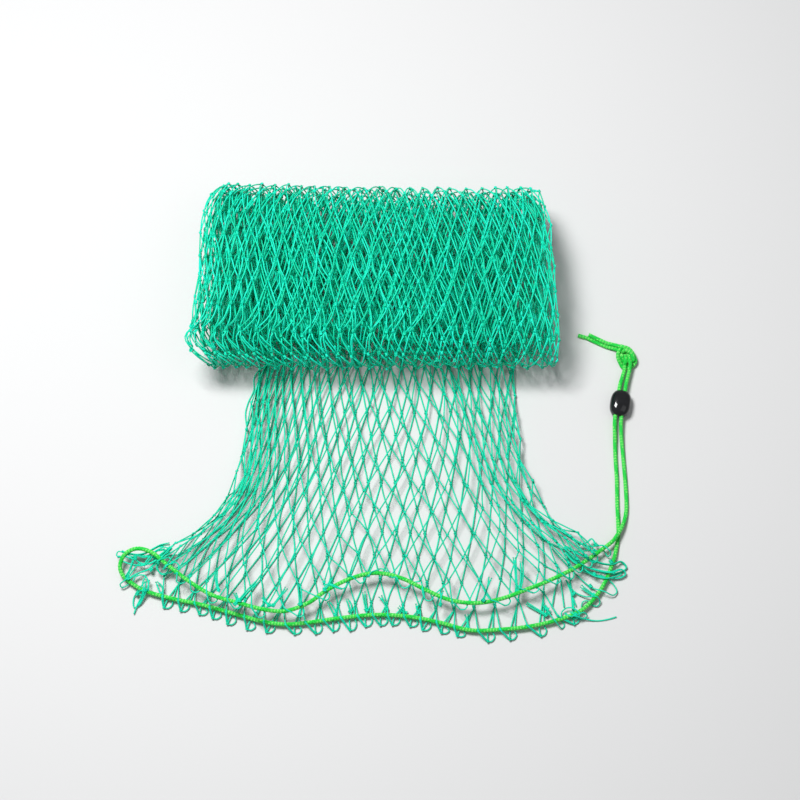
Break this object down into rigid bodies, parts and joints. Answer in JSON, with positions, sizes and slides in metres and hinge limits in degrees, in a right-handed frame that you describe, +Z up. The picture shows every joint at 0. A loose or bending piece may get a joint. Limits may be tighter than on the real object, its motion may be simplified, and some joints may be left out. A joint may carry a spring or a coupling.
{
  "type": "rolled fishing net bag with drawstring",
  "caption": "Knotted tubular fishing net rolled up flat, its open mouth spread on a drawstring with a cord stopper and an end knot.",
  "frame": {"origin": "on the floor, under the middle of the net's outline", "axes": "+X across the bag, towards the free strands' side; +Y from the mouth towards the roll; +Z up"},
  "size_m": [0.397, 0.3595, 0.0618],
  "materials": {
    "net_twine": "twisted nylon twine, slight sheen",
    "drawstring_braid": "braided cord, slight sheen",
    "stopper_plastic": "glossy black"
  },
  "bodies": {
    "root": {"net_roll": "net_twine", "net_skirt": "net_twine", "drawstring_mouth": "drawstring_braid", "drawstring_strand_upper": "drawstring_braid", "drawstring_strand_lower": "drawstring_braid", "drawstring_knot": "drawstring_braid", "cord_stopper": "stopper_plastic"}
  },
  "joints": []
}
